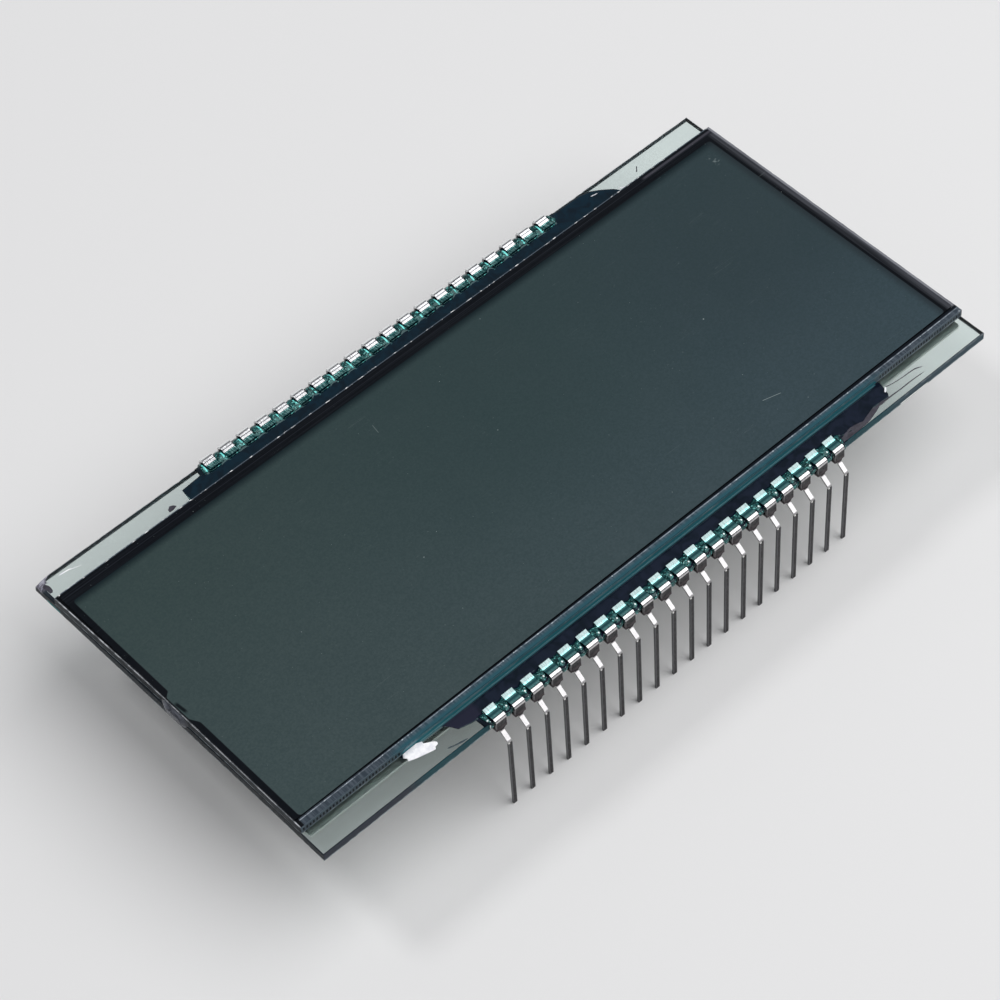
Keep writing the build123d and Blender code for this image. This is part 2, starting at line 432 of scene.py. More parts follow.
def make_front_film():
    """Grey-green polarising film over the dark cell, whose outline shows through."""
    material, tree, shader = new_material("front_film_green")
    spot, x, y, _ = place(tree)
    port = times(tree, ramp(tree, y, 2.0, 1.25), ramp(tree, y, -3.5, -2.0))
    port = times(tree, port, ramp(tree, x, -40.0, -44.0))
    port_x = plus(tree, x, times(tree, port, PORT_DEPTH))
    cell = rounded_frame(tree, port_x, y, CELL_LOW, CELL_HIGH, 0.4)
    colour = cell_colour(tree, spot, x, y)
    colour = paint(tree, colour, seal_colour(tree, spot, x, y), ramp(tree, cell, -0.07, 0.05))
    colour = paint(tree, colour, PANEL["dam"], stroke(tree, x, y, *DAM))
    colour = film_edges(tree, spot, x, y, colour)
    marks = film_marks(tree, spot, x, y)
    colour = paint(tree, colour, (0.34, 0.40, 0.40), marks)
    roughness = ramp(tree, clouds(tree, spot, 0.12, detail=5.0), 0.3, 0.7, 0.2, 0.3)
    roughness = plus(tree, roughness, times(tree, marks, 0.3))
    ripple = plus(tree, times(tree, clouds(tree, spot, 0.7, detail=2.0), 0.5), marks)
    feed(tree, shader, Base_Color=colour, Roughness=roughness, IOR=1.25)
    feed(tree, shader, Normal=bump(tree, ripple, 0.004))
    return material


def make_clear_glass():
    """Clear glass with dust and a few scratches."""
    material, tree, shader = new_material("clear_glass_sheet")
    spot = position(tree)
    marks = highest(tree, use_dust(tree, spot, 0.9), times(tree, use_hairlines(tree, spot), 0.5))
    haze = ramp(tree, clouds(tree, spot, 0.4, detail=5.0), 0.45, 0.8, 0.0, 0.05)
    colour = blend(tree, marks, (0.80, 0.90, 0.88), (0.95, 0.97, 0.97))
    roughness = plus(tree, haze, times(tree, marks, 0.5))
    feed(tree, shader, Base_Color=colour, Roughness=roughness, Normal=bump(tree, marks, 0.01))
    feed(tree, shader, Transmission_Weight=1.0, IOR=1.52, Metallic=0.0)
    return material


# The left line and right line colours are painted highlights on the upper arrises.
RIM_COLOURS = {
    "front": {
        "left": from_screen(76, 88, 97),
        "middle": from_screen(44, 86, 98),
        "right": from_screen(84, 95, 104),
        "far line": from_screen(20, 34, 46),
        "left line": (0.55, 0.57, 0.60),
        "right line": (0.50, 0.50, 0.54),
    },
    "rear": {
        "left": from_screen(46, 50, 60),
        "middle": from_screen(26, 66, 74),
        "right": from_screen(50, 68, 78),
        "far line": (0.15, 0.18, 0.20),
        "right line": (0.22, 0.18, 0.21),
    },
}


def measure_rim(tree, near, far, bottom, top):
    """What the drawing of a rim shares: its limits, the position on it, and common masks."""
    spot, x, y, z = place(tree)
    aside = absolute(tree, x)
    coarse = stretched(tree, spot, (1.2, 1.2, 5.0))
    return SimpleNamespace(
        near=near,
        far=far,
        bottom=bottom,
        top=top,
        spot=spot,
        x=x,
        y=y,
        z=z,
        aside=aside,
        glued=times(tree, ramp(tree, x, -36.5, -33.0), ramp(tree, x, 36.0, 30.0)),
        end_face=ramp(tree, aside, HALF_LENGTH - 0.06, HALF_LENGTH - 0.02),
        upper=ramp(tree, z, top - 0.1, top - 0.04),
        far_side=ramp(tree, y, far - 0.22, far - 0.17),
        hackle=clouds(tree, coarse, 1.3, detail=5.0, rough=0.65),
        broken=ramp(tree, clouds(tree, spot, 1.1, detail=4.0), 0.4, 0.6, 0.25, 1.0),
        dotted=ramp(tree, clouds(tree, spot, 1.7, detail=3.0), 0.56, 0.66),
    )


def ground_faces(tree, rim, colours):
    """Grey-blue cut faces: layered at both ends, with a pale lower line and a far one."""
    colour = blend(tree, ramp(tree, rim.x, -36.0, 36.0), colours["left"], colours["right"])
    colour = paint(tree, colour, colours["middle"], rim.glued)
    layers = clouds(tree, stretched(tree, rim.spot, (0.1, 0.1, 7.0)), 1.0)
    layered = tones(tree, layers, from_screen(18, 22, 26), from_screen(40, 46, 52))
    colour = paint(tree, colour, layered, rim.end_face)
    torn = ramp(tree, rim.hackle, 0.45, 0.8, 0.0, 0.25)
    colour = paint(tree, colour, from_screen(90, 100, 106), torn)
    lower = ramp(tree, rim.z, rim.bottom + 0.22, rim.bottom + 0.15)
    colour = paint(tree, colour, from_screen(170, 180, 186), lower, rim.broken, 0.6)
    far_level = ramp(tree, rim.z, rim.top - 0.2, rim.top - 0.1, 0.3, 0.7)
    return paint(tree, colour, colours["far line"], rim.far_side, far_level)


def upper_lines(tree, rim, colours, colour):
    """Painted highlights: bright, broken lines on the upper arris, at the right and at the far
    side.
    """
    at_right = ramp(tree, rim.x, HALF_LENGTH - 0.13, HALF_LENGTH - 0.08)
    colour = paint(tree, colour, colours["right line"], rim.upper, at_right, rim.broken)
    return paint(tree, colour, (0.85, 0.88, 0.88), rim.upper, rim.far_side, rim.dotted)


def near_strip(tree, rim, colour):
    """The strip before the film: hatched, teal where the glue wets it, with dots on its face."""
    step = maths(tree, "FRACT", times(tree, rim.x, 2.35))
    dots = between(tree, step, 0.25, 0.75, 0.14)
    dots = times(tree, dots, between(tree, rim.z, 14.08, 14.56, 0.05))
    dots_end = ramp(tree, rim.aside, 33.8, 34.2)
    near_face = ramp(tree, rim.y, rim.near + 0.2, rim.near + 0.1)
    colour = paint(tree, colour, from_screen(8, 11, 15), dots, dots_end, near_face)

    on_top = ramp(tree, rim.z, rim.top - 0.05, rim.top - 0.02)
    strip = times(tree, on_top, ramp(tree, rim.y, rim.near + 1.3, rim.near + 1.1))
    hatch = clouds(tree, stretched(tree, rim.spot, (5.0, 0.4, 1.0)), 1.0, detail=2.0)
    ends = tones(tree, hatch, from_screen(50, 59, 68), from_screen(74, 83, 92))
    wetted = tones(tree, hatch, from_screen(52, 70, 80), from_screen(76, 92, 102))
    lowered = ramp(tree, rim.y, rim.near + 0.6, rim.near + 0.1)
    wetted = paint(tree, wetted, from_screen(42, 80, 91), lowered)
    colour = paint(tree, colour, blend(tree, rim.glued, ends, wetted), strip)

    # The bright line and the painted shadow beside the film run slightly out of square.
    slant = ramp(tree, rim.x, 44.0, -34.0, -0.07, 0.12)
    film_gap = minus(tree, minus(tree, rim.y, rim.near), slant)
    line = times(tree, strip, between(tree, film_gap, 0.57, 0.67, 0.03))
    colour = paint(tree, colour, from_screen(160, 168, 178), line, rim.broken, 0.75)
    specks = ramp(tree, clouds(tree, rim.spot, 3.6, detail=2.0), 0.6, 0.68)
    colour = paint(tree, colour, from_screen(200, 210, 216), line, specks)
    # Painted shadow of the film's edge on the strip, fainter at the left end.
    shaded = ramp(tree, film_gap, 0.68, 0.74)
    fading = ramp(tree, rim.x, -44.0, -34.0, 0.4, 1.0)
    return paint(tree, colour, from_screen(14, 20, 28), strip, shaded, fading)


def front_right_end(tree, rim, colour):
    """Grey band with a bright outer line at the right, and a painted glint at its near corner."""
    band = times(tree, rim.upper, ramp(tree, rim.x, 46.4, 46.5))
    band = times(tree, band, ramp(tree, rim.y, rim.near + 0.9, rim.near + 1.2))
    colour = paint(tree, colour, from_screen(64, 65, 70), band)
    streaks = clouds(tree, stretched(tree, rim.spot, (4.0, 0.12, 1.0)), 1.0, detail=2.0)
    streaks = ramp(tree, streaks, 0.3, 0.6, 0.5, 1.0)
    outer = ramp(tree, rim.x, 46.54, 46.62)
    colour = paint(tree, colour, from_screen(124, 126, 132), band, outer, streaks)
    # Painted glint at the near right corner.
    corner = times(tree, rim.upper, ramp(tree, rim.x, 46.2, 46.7))
    corner = times(tree, corner, ramp(tree, rim.y, rim.near + 0.8, rim.near + 0.4))
    return paint(tree, colour, (0.5, 0.55, 0.6), corner, rim.dotted)


def front_left_end(tree, rim, colours, colour):
    """Dark band and painted highlight line that follow the leaning left edge."""
    beyond = highest(tree, minus(tree, rim.y, FRONT_LEAN_FROM), 0.0)
    lean = times(tree, beyond, LEAN / (rim.far - FRONT_LEAN_FROM))
    edge_gap = plus(tree, rim.x, HALF_LENGTH, lean)
    shaded = times(tree, rim.upper, ramp(tree, edge_gap, 0.13, 0.16))
    colour = paint(tree, colour, from_screen(12, 15, 19), shaded, ramp(tree, rim.x, -46.4, -46.5))
    # Painted highlight along the left arris.
    line = times(tree, rim.upper, ramp(tree, edge_gap, 0.14, 0.1))
    line = times(tree, line, ramp(tree, edge_gap, 0.0, 0.03, 0.4, 1.0))
    return paint(tree, colour, colours["left line"], line, rim.broken)


def rear_chip(tree, rim, colour):
    """Pale, hackled break at the far left corner."""
    chip = ramp(tree, rim.x, -45.4, -46.1)
    chip = times(tree, chip, ramp(tree, rim.y, rim.far - 1.6, rim.far - 0.9))
    broken = tones(tree, rim.hackle, from_screen(70, 68, 80), from_screen(170, 170, 182))
    return paint(tree, colour, broken, chip, ramp(tree, rim.z, rim.top - 0.5, rim.top - 0.3))


def rear_lines(tree, rim, colour):
    """High line at the right, and a dark line where the near arris turns on to the top."""
    high = ramp(tree, rim.z, rim.top - 0.32, rim.top - 0.22)
    high = times(tree, high, ramp(tree, rim.x, 30.0, 38.0))
    colour = paint(tree, colour, from_screen(96, 104, 110), high, rim.broken)
    on_top = ramp(tree, rim.z, rim.top - 0.03, rim.top - 0.01)
    near_edge = ramp(tree, rim.y, rim.near + 0.2, rim.near + 0.15)
    return paint(tree, colour, from_screen(34, 38, 44), on_top, near_edge)


def rear_marks(tree, rim, colour):
    """Teal stain on the left face, a bright nick and a painted glint at the near right."""
    stain = times(tree, rim.end_face, ramp(tree, rim.x, 0.0, -1.0))
    stain = times(tree, stain, between(tree, rim.y, 18.7, 20.9, 0.1))
    colour = paint(tree, colour, (0.010, 0.19, 0.19), stain, ramp(tree, rim.z, 13.2, 13.0))
    nick = between(tree, rim.x, 34.0, 38.2, 0.2)
    nick = times(tree, nick, between(tree, rim.z, 12.78, 12.93, 0.03))
    near_face = ramp(tree, rim.y, rim.near + 0.1, rim.near + 0.06)
    colour = paint(tree, colour, (0.95, 0.97, 0.95), nick, near_face)
    # Painted glint at the near right corner.
    corner = times(tree, rim.upper, ramp(tree, rim.x, 46.4, 46.7))
    corner = times(tree, corner, ramp(tree, rim.y, rim.near + 0.6, rim.near + 0.3))
    return paint(tree, colour, (0.8, 0.84, 0.86), corner, rim.dotted)


def feed_rim(tree, shader, rim, colour):
    """Gives a rim its colour and its ground surface."""
    roughness = ramp(tree, rim.hackle, 0.3, 0.7, 0.28, 0.6)
    feed(tree, shader, Base_Color=colour, Roughness=roughness, IOR=1.16)
    feed(tree, shader, Normal=bump(tree, rim.hackle, 0.02))


def make_front_rim():
    """Cut and ground edge of the front sheet, with the strip that the film leaves bare."""
    material, tree, shader = new_material("front_glass_rim")
    rim = measure_rim(tree, NEAR_FRONT_EDGE, FAR_FRONT_EDGE, FRONT_BOTTOM, FRONT_TOP)
    colours = RIM_COLOURS["front"]
    colour = ground_faces(tree, rim, colours)
    colour = near_strip(tree, rim, colour)
    colour = front_right_end(tree, rim, colour)
    colour = front_left_end(tree, rim, colours, colour)
    feed_rim(tree, shader, rim, upper_lines(tree, rim, colours, colour))
    return material


def make_rear_rim():
    """Cut and ground edge of the rear sheet, with its chip, nick and stain."""
    material, tree, shader = new_material("rear_glass_rim")
    rim = measure_rim(tree, -REAR_EDGE, REAR_EDGE, REAR_BOTTOM, LEDGE)
    colours = RIM_COLOURS["rear"]
    colour = upper_lines(tree, rim, colours, ground_faces(tree, rim, colours))
    colour = rear_lines(tree, rim, colour)
    colour = rear_chip(tree, rim, colour)
    feed_rim(tree, shader, rim, rear_marks(tree, rim, colour))
    return material


def make_rear_film():
    """Satin silver reflective film on the back."""
    material, tree, shader = new_material("rear_film_silver")
    spot = position(tree)
    brushed = clouds(tree, stretched(tree, spot, (0.15, 3.0, 1.0), 0.3), 1.0, detail=4.0)
    colour = blend(tree, brushed, (0.40, 0.42, 0.41), (0.56, 0.58, 0.56))
    marks = highest(tree, use_dust(tree, spot, 0.6), times(tree, use_hairlines(tree, spot), 0.6))
    colour = paint(tree, colour, (0.75, 0.76, 0.74), marks)
    roughness = ramp(tree, brushed, 0.3, 0.7, 0.32, 0.46)
    feed(tree, shader, Base_Color=colour, Roughness=roughness, Metallic=0.65)
    feed(tree, shader, Normal=bump(tree, brushed, 0.006))
    return material


def make_seal_resin():
    """Printed seal resin under the glass: grey-blue near, grey at the right, dark elsewhere."""
    material, tree, shader = new_material("seal_resin_grey")
    spot, x, y, _ = place(tree)
    mottle = clouds(tree, spot, 2.5, detail=5.0)
    dark = blend(tree, mottle, from_screen(18, 21, 27), from_screen(36, 39, 46))
    near = blend(tree, mottle, from_screen(70, 82, 92), from_screen(92, 104, 114))
    right = blend(tree, mottle, from_screen(54, 58, 66), from_screen(78, 82, 90))
    colour = paint(tree, dark, right, ramp(tree, x, 44.0, 45.5))
    colour = paint(tree, colour, near, ramp(tree, y, -17.0, -17.8))
    feed(tree, shader, Base_Color=colour, Roughness=ramp(tree, mottle, 0.3, 0.7, 0.35, 0.6))
    feed(tree, shader, Normal=bump(tree, mottle, 0.004))
    return material


def make_crystal_layer():
    """The fluid layer as it shows at the port: dark grey-green and glossy."""
    material, tree, shader = new_material("crystal_fluid")
    drift = clouds(tree, position(tree), 0.2, detail=3.0)
    colour = blend(tree, drift, (0.045, 0.065, 0.058), (0.065, 0.085, 0.080))
    feed(tree, shader, Base_Color=colour, Roughness=ramp(tree, drift, 0.3, 0.7, 0.1, 0.2))
    return material


def make_plug_resin():
    """Milky hardened drop with pale streaks and a few bubbles."""
    material, tree, shader = new_material("plug_resin_milky")
    spot = position(tree)
    streaks = clouds(tree, stretched(tree, spot, (1.0, 0.5, 1.6)), 1.3, detail=4.0, warp=0.5)
    cells = wire(tree, "ShaderNodeTexVoronoi", {"Vector": spot, "Scale": 2.2})
    bubbles = ramp(tree, cells.outputs["Distance"], 0.16, 0.08)
    colour = tones(tree, streaks, from_screen(42, 46, 54), from_screen(100, 104, 114), 0.35, 0.7)
    colour = paint(tree, colour, from_screen(196, 204, 208), bubbles, 0.6)
    roughness = ramp(tree, streaks, 0.3, 0.7, 0.08, 0.25)
    feed(tree, shader, Base_Color=colour, Roughness=roughness, IOR=1.3)
    feed(tree, shader, Normal=bump(tree, highest(tree, bubbles, streaks), 0.04))
    return material


def steps_from_first_pin(tree, x):
    """Place along the row, counted in pins from the first one."""
    return times(tree, minus(tree, x, FIRST_PIN), 1 / PITCH)


def pin_bright(tree, pin):
    """Bright rolled tin."""
    return tones(tree, pin.rolled, (0.44, 0.43, 0.44), (0.62, 0.61, 0.61))


def pin_lead_colour(tree, pin):
    """Backs and leads painted dark as painted shade, a bright slope between them, and two painted
    glints.
    """
    speckle = clouds(tree, pin.spot, 3.4, detail=4.0, rough=0.7)
    # Painted shade: backs and leads take a dark tin colour in place of the light they would
    # reflect.
    painted_dark_tin = tones(tree, speckle, (0.010, 0.009, 0.011), (0.055, 0.052, 0.056), 0.42, 0.66)
    # Painted highlights: lighter lines along the edges of the lead and of the back.
    lead = paint(tree, painted_dark_tin, (0.17, 0.17, 0.18), ramp(tree, pin.aside, 0.15, 0.2), 0.75)
    back = paint(tree, painted_dark_tin, (0.30, 0.29, 0.30), ramp(tree, pin.aside, 0.6, 0.68), 0.7)
    back = paint(tree, back, (0.06, 0.045, 0.05), between(tree, pin.height, -1.3, -0.95, 0.1))
    colour = blend(tree, ramp(tree, pin.height, -1.5, -2.7), back, lead)
    slope = between(tree, pin.height, SLOPE_LOW, SLOPE_HIGH, 0.07)
    colour = paint(tree, colour, pin_bright(tree, pin), slope, ramp(tree, pin.outward, 0.40, 0.52))
    # Painted highlights at the shoulder and inside the elbow.
    shoulder = between(tree, pin.height, SLOPE_HIGH, SHOULDER_HIGH, 0.05)
    shoulder = times(tree, between(tree, pin.across, -0.6, -0.26, 0.05), shoulder)
    elbow = between(tree, pin.height, -2.78, SLOPE_LOW, 0.04)
    elbow = times(tree, ramp(tree, pin.across, -0.04, -0.1), elbow)
    return paint(tree, colour, (0.90, 0.90, 0.88), highest(tree, shoulder, elbow))


def near_head_colour(tree, pin):
    """Near tongues: stained teal with a pale free end, a dark line, and a bright crown."""
    comb = clouds(tree, stretched(tree, pin.spot, (14.0, 1.2, 1.0)), 1.0, detail=2.0)
    free_end = ramp(tree, plus(tree, pin.outward, times(tree, comb, 0.5)), -0.70, -0.80)
    teal = tones(tree, pin.stripes, (0.15, 0.44, 0.44), (0.36, 0.72, 0.70))
    teal = paint(tree, teal, (0.05, 0.22, 0.24), between(tree, pin.outward, -0.66, -0.3, 0.14))
    pale = tones(tree, pin.rolled, (0.15, 0.21, 0.21), (0.25, 0.31, 0.31))
    colour = paint(tree, teal, pale, free_end)
    colour = paint(tree, colour, pin_bright(tree, pin), ramp(tree, pin.outward, 0.04, 0.14))
    dark_line = between(tree, pin.outward, 0.0, 0.07, 0.03)
    return paint(tree, colour, (0.06, 0.10, 0.10), dark_line)


def far_head_colour(tree, pin):
    """Far tongues: a white painted highlight between dark lines, a crown painted pale as a painted
    highlight, and a striped free end.
    """
    inner_line = between(tree, pin.outward, -0.40, -0.30, 0.02)
    outer_line = between(tree, pin.outward, -0.08, 0.0, 0.02)
    # Painted highlight: the far tongue's top is painted near white.
    gleam = tones(tree, pin.rolled, (0.80, 0.82, 0.83), (0.95, 0.96, 0.97), 0.4, 0.6)
    lines = highest(tree, inner_line, outer_line)
    colour = paint(tree, gleam, (0.10, 0.095, 0.12), lines, 0.9)
    # Painted highlight: the far crown is painted pale.
    colour = paint(tree, colour, (0.86, 0.88, 0.88), pin.far_crown)
    free_end = tones(tree, pin.stripes, (0.03, 0.20, 0.20), (0.50, 0.95, 0.90), 0.5, 0.6)
    colour = paint(tree, colour, free_end, ramp(tree, pin.outward, -0.72, -0.80))
    return paint(tree, colour, (0.03, 0.07, 0.07), between(tree, pin.outward, -0.78, -0.70, 0.03))


def make_tinned_pin():
    """Tin plate on stamped strip: bright bends, teal-stained tongues, painted highlights on the far
    tongues, and backs and leads painted dark as painted shade.
    """
    material, tree, shader = new_material("tinned_pin_strip")
    spot, x, y, z = place(tree)
    steps = steps_from_first_pin(tree, x)
    across = times(tree, minus(tree, steps, maths(tree, "ROUND", steps)), PITCH)
    outward = minus(tree, absolute(tree, y), REAR_EDGE)
    height = minus(tree, z, LEDGE)
    far_row = maths(tree, "GREATER_THAN", y, 0.0)
    # Mask of the far crowns' painted highlight; there the tin is also made less metallic, so that
    # it shows white.
    far_crown = times(tree, far_row, ramp(tree, outward, 0.1, 0.16), ramp(tree, height, 0.1, 0.2))
    pin = SimpleNamespace(
        spot=spot,
        across=across,
        aside=absolute(tree, across),
        outward=outward,
        height=height,
        far_crown=far_crown,
        rolled=clouds(tree, stretched(tree, spot, (16.0, 1.6, 0.7)), 1.0, detail=3.0),
        stripes=clouds(tree, stretched(tree, spot, (13.0, 0.8, 1.0)), 1.0, detail=3.0),
    )
    heads = blend(tree, far_row, near_head_colour(tree, pin), far_head_colour(tree, pin))
    colour = paint(tree, pin_lead_colour(tree, pin), heads, ramp(tree, height, 0.0, 0.04))
    roughness = ramp(tree, pin.rolled, 0.3, 0.7, 0.13, 0.24)
    roughness = plus(tree, roughness, times(tree, ramp(tree, height, -0.2, -0.6), 0.14))
    metal = minus(tree, 1.0, times(tree, far_crown, 0.8))
    feed(tree, shader, Base_Color=colour, Metallic=metal, Roughness=roughness)
    feed(tree, shader, Normal=bump(tree, pin.rolled, 0.008))
    return material


def glue_film_colour(tree, glue):
    """The thin film: navy with a mauve end on the near ledge, sea blue on the far one; the navy and
    sea blue are partly painted dark reflection.
    """
    swirl = clouds(tree, glue.spot, 0.7, detail=4.0, warp=0.8)
    navy = tones(tree, swirl, (0.0010, 0.0012, 0.0085), (0.0065, 0.0075, 0.0215))
    sea = tones(tree, swirl, (0.0005, 0.0035, 0.0120), (0.0010, 0.0105, 0.0240))
    mauve_end = between(tree, glue.x, -28.6, -24.9, 0.4)
    navy = paint(tree, navy, (0.0133, 0.0107, 0.0275), mauve_end, ramp(tree, glue.inward, 1.2, 1.5))
    return blend(tree, glue.far_row, navy, sea)


def glue_fillet(tree, glue, colour):
    """Teal fillet up the front glass, with a streaked top lightened as painted reflection and a
    paler foot.
    """
    left, right = from_screen(21, 100, 112), from_screen(19, 98, 112)
    low = blend(tree, ramp(tree, glue.x, -34.0, 20.0), left, right)
    streaks = clouds(tree, stretched(tree, glue.spot, (0.35, 1.0, 3.0)), 1.0, detail=4.0)
    # Streaked top, lighter and bluer: partly the glue's streaks, partly painted reflection.
    high = tones(tree, streaks, from_screen(52, 84, 96), from_screen(96, 122, 132), 0.4, 0.7)
    fillet = blend(tree, ramp(tree, glue.height, 0.3, 0.75), low, high)
    foot = between(tree, glue.height, 0.07, 0.16, 0.02)
    foot = times(tree, foot, ramp(tree, glue.inward, 3.05, 3.15))
    fillet = paint(tree, fillet, from_screen(50, 92, 102), foot)
    climbing = times(tree, ramp(tree, glue.height, 0.14, 0.2), ramp(tree, glue.inward, 2.4, 2.8))
    return paint(tree, colour, fillet, highest(tree, climbing, foot))


def painted_glue_highlights(tree, glue):
    """Mask of the painted highlights on the drops: round ones beside every pin, and a run of them
    in the far row.
    """
    run = times(tree, between(tree, glue.across, 0.18, 0.34, 0.05), glue.far_row)
    run = times(tree, run, between(tree, glue.inward, 0.3, 1.35, 0.08))
    run = times(tree, run, ramp(tree, clouds(tree, glue.spot, 2.6, detail=1.0), 0.38, 0.5))
    near_row = minus(tree, 1.0, glue.far_row)
    # The bubbles here are painted highlights, not bubbles in the glue.
    bubbles = [run]
    for at, reach, size, in_far_row in GLUE_HIGHLIGHTS:
        row = glue.far_row if in_far_row else near_row
        away = distance(tree, minus(tree, glue.across, at), minus(tree, glue.inward, reach))
        bubbles.append(times(tree, ramp(tree, away, size, size * 0.5), row))
    return highest(tree, *bubbles)


def glue_drop_colour(tree, glue):
    """Dark teal drops with painted sparkle highlights and pale, round painted highlights."""
    colour = tones(tree, glue.fine, (0.002, 0.018, 0.020), (0.014, 0.085, 0.085), 0.42, 0.62)
    # Painted highlights: small bright sparkles on the drops.
    sparkle = ramp(tree, clouds(tree, glue.spot, 4.6, detail=2.0), 0.58, 0.68)
    colour = paint(tree, colour, (0.20, 0.60, 0.56), sparkle, 0.8)
    # Colours of the round painted highlights.
    pale = blend(tree, glue.far_row, (0.85, 0.97, 0.96), (0.22, 0.90, 0.84))
    return paint(tree, colour, pale, painted_glue_highlights(tree, glue))


def make_clear_glue():
    """Glossy glue: navy where it is a thin film, partly as painted dark reflection, teal where it
    is thick, with painted highlights on the drops.
    """
    material, tree, shader = new_material("clear_glue_teal")
    spot, x, y, z = place(tree)
    halfway = plus(tree, steps_from_first_pin(tree, x), 0.5)
    glue = SimpleNamespace(
        spot=spot,
        x=x,
        across=times(tree, maths(tree, "FRACT", halfway), PITCH),
        inward=minus(tree, REAR_EDGE, absolute(tree, y)),
        height=minus(tree, z, LEDGE),
        far_row=maths(tree, "GREATER_THAN", y, 0.0),
        fine=clouds(tree, spot, 3.0, detail=3.0),
    )
    colour = glue_fillet(tree, glue, glue_film_colour(tree, glue))
    over_ledge = ramp(tree, glue.height, 0.12, 0.2)
    over_edge = ramp(tree, glue.height, 0.0, -0.06)
    drops = times(tree, ramp(tree, glue.inward, 1.75, 1.45), highest(tree, over_ledge, over_edge))
    colour = paint(tree, colour, glue_drop_colour(tree, glue), drops)
    hills = times(tree, clouds(tree, spot, 2.3, detail=1.0), drops)
    ripple = plus(tree, hills, times(tree, glue.fine, 0.04))
    roughness = ramp(tree, glue.fine, 0.3, 0.7, 0.04, 0.1)
    feed(tree, shader, Base_Color=colour, Roughness=roughness, IOR=1.5)
    feed(tree, shader, Specular_Tint=(0.62, 1.0, 0.96), Normal=bump(tree, ripple, 0.16))
    return material


def make_dried_glue(name, thin, thick):
    """Dried smear or flake of glue, matt and uneven."""
    material, tree, shader = new_material(name)
    crust = clouds(tree, position(tree), 1.8, detail=5.0, rough=0.65)
    colour = tones(tree, crust, thin, thick)
    feed(tree, shader, Base_Color=colour, Roughness=ramp(tree, crust, 0.3, 0.7, 0.4, 0.7))
    feed(tree, shader, Normal=bump(tree, crust, 0.05))
    return material


finishes = {
    "front_film": make_front_film(),
    "clear_glass": make_clear_glass(),
    "rear_film": make_rear_film(),
    "seal_resin": make_seal_resin(),
    "crystal_layer": make_crystal_layer(),
    "plug_resin": make_plug_resin(),
    "tinned_pin": make_tinned_pin(),
    "clear_glue": make_clear_glue(),
}
front_rim = make_front_rim()
rear_rim = make_rear_rim()
# White dried glue; on the near flake its white is a painted reflection of a shiny, lifted patch.
flake_white_and_sheen = make_dried_glue("flake_white_and_sheen", (0.78, 0.79, 0.84), (0.97, 0.97, 0.98))
smear_mauve = make_dried_glue("smear_mauve", from_screen(38, 36, 46), from_screen(60, 58, 70))
smear_blue = make_dried_glue("smear_blue", from_screen(30, 48, 56), from_screen(46, 68, 78))

for entry in frame["record"]["subparts"]:
    solid = nodes[entry["node"]]
    solid.data.materials.clear()
    solid.data.materials.append(finishes[entry["material_slot"]])


def smooth_edges(piece, width, segments=2):
    """Rounds the sharp edges of a solid with a modifier."""
    edge = piece.modifiers.new("soft_edges", "BEVEL")
    edge.width = width * MM
    edge.segments = segments
    edge.limit_method = "ANGLE"
    edge.angle_limit = math.radians(35)
    edge.harden_normals = False


for name, solid in nodes.items():
    if "_pin_" in name:
        smooth_edges(solid, 0.03)


def add_mesh(name, points, faces, slot_name, material=None, smooth=True):
    """A mesh piece from points in millimetres."""
    mesh = bpy.data.meshes.new(name)
    mesh.from_pydata([Vector(p) * MM for p in points], [], faces)
    mesh.validate()
    mesh.update()
    piece = bpy.data.objects.new(name, mesh)
    bpy.context.scene.collection.objects.link(piece)
    mesh.materials.append(material or finishes[slot_name])
    if smooth:
        mesh.polygons.foreach_set("use_smooth", [True] * len(mesh.polygons))
    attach(piece, "root")
    return piece


def smoothstep(value, low, high):
    """0 at low, 1 at high, smooth between."""
    share = min(max((value - low) / (high - low), 0.0), 1.0)
    return share * share * (3 - 2 * share)


def outline_of(near, far, step):
    """Points along a sheet's outline, counterclockwise from its near left corner."""
    corners = [(-HALF_LENGTH, near), (HALF_LENGTH, near), (HALF_LENGTH, far), (-HALF_LENGTH, far)]
    points = []
    for start, end in zip(corners, corners[1:] + corners[:1]):
        length = math.dist(start, end)
        count = round(length / step)
        points += [
            (start[0] + (end[0] - start[0]) * i / count, start[1] + (end[1] - start[1]) * i / count)
            for i in range(count)
        ]
    return points


